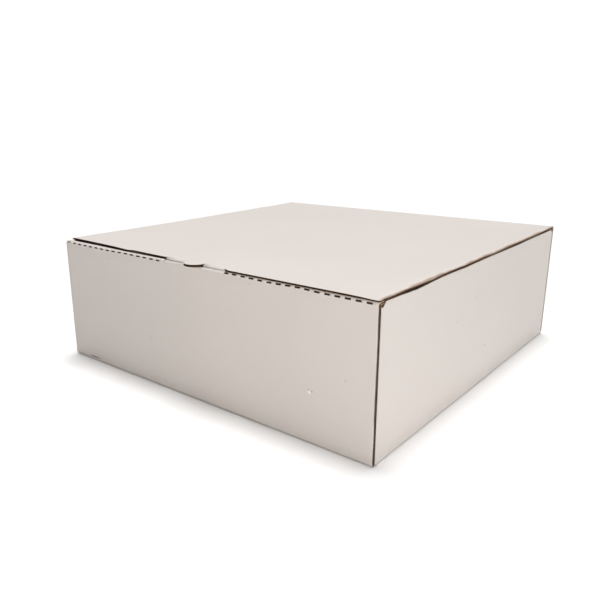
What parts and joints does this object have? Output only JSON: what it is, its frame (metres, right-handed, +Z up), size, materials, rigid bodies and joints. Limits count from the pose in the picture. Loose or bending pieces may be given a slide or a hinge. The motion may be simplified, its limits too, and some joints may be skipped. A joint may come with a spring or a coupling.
{
  "type": "cake box",
  "caption": "Low square one-piece corrugated cake box with a rolled-over perforated front wall and a hinged lid held by a tuck-in tongue with a thumb tab.",
  "frame": {"origin": "middle of the underside of the folded box", "axes": "+X to the right along the front wall, +Y from the front wall to the back wall, +Z up"},
  "size_m": [0.3082, 0.3208, 0.1048],
  "materials": {
    "white_board": "matte white outside, brown kraft inside and at its cut edges"
  },
  "bodies": {
    "box": {"tray": "white_board"},
    "cover": {"lid": "white_board"}
  },
  "joints": [
    {"name": "lid_fold", "type": "hinge", "parent": "box", "child": "cover", "pos_m": [0, 0.15685, 0.104], "axis": [-1, 0, 0], "range_deg": [0, 180]}
  ]
}
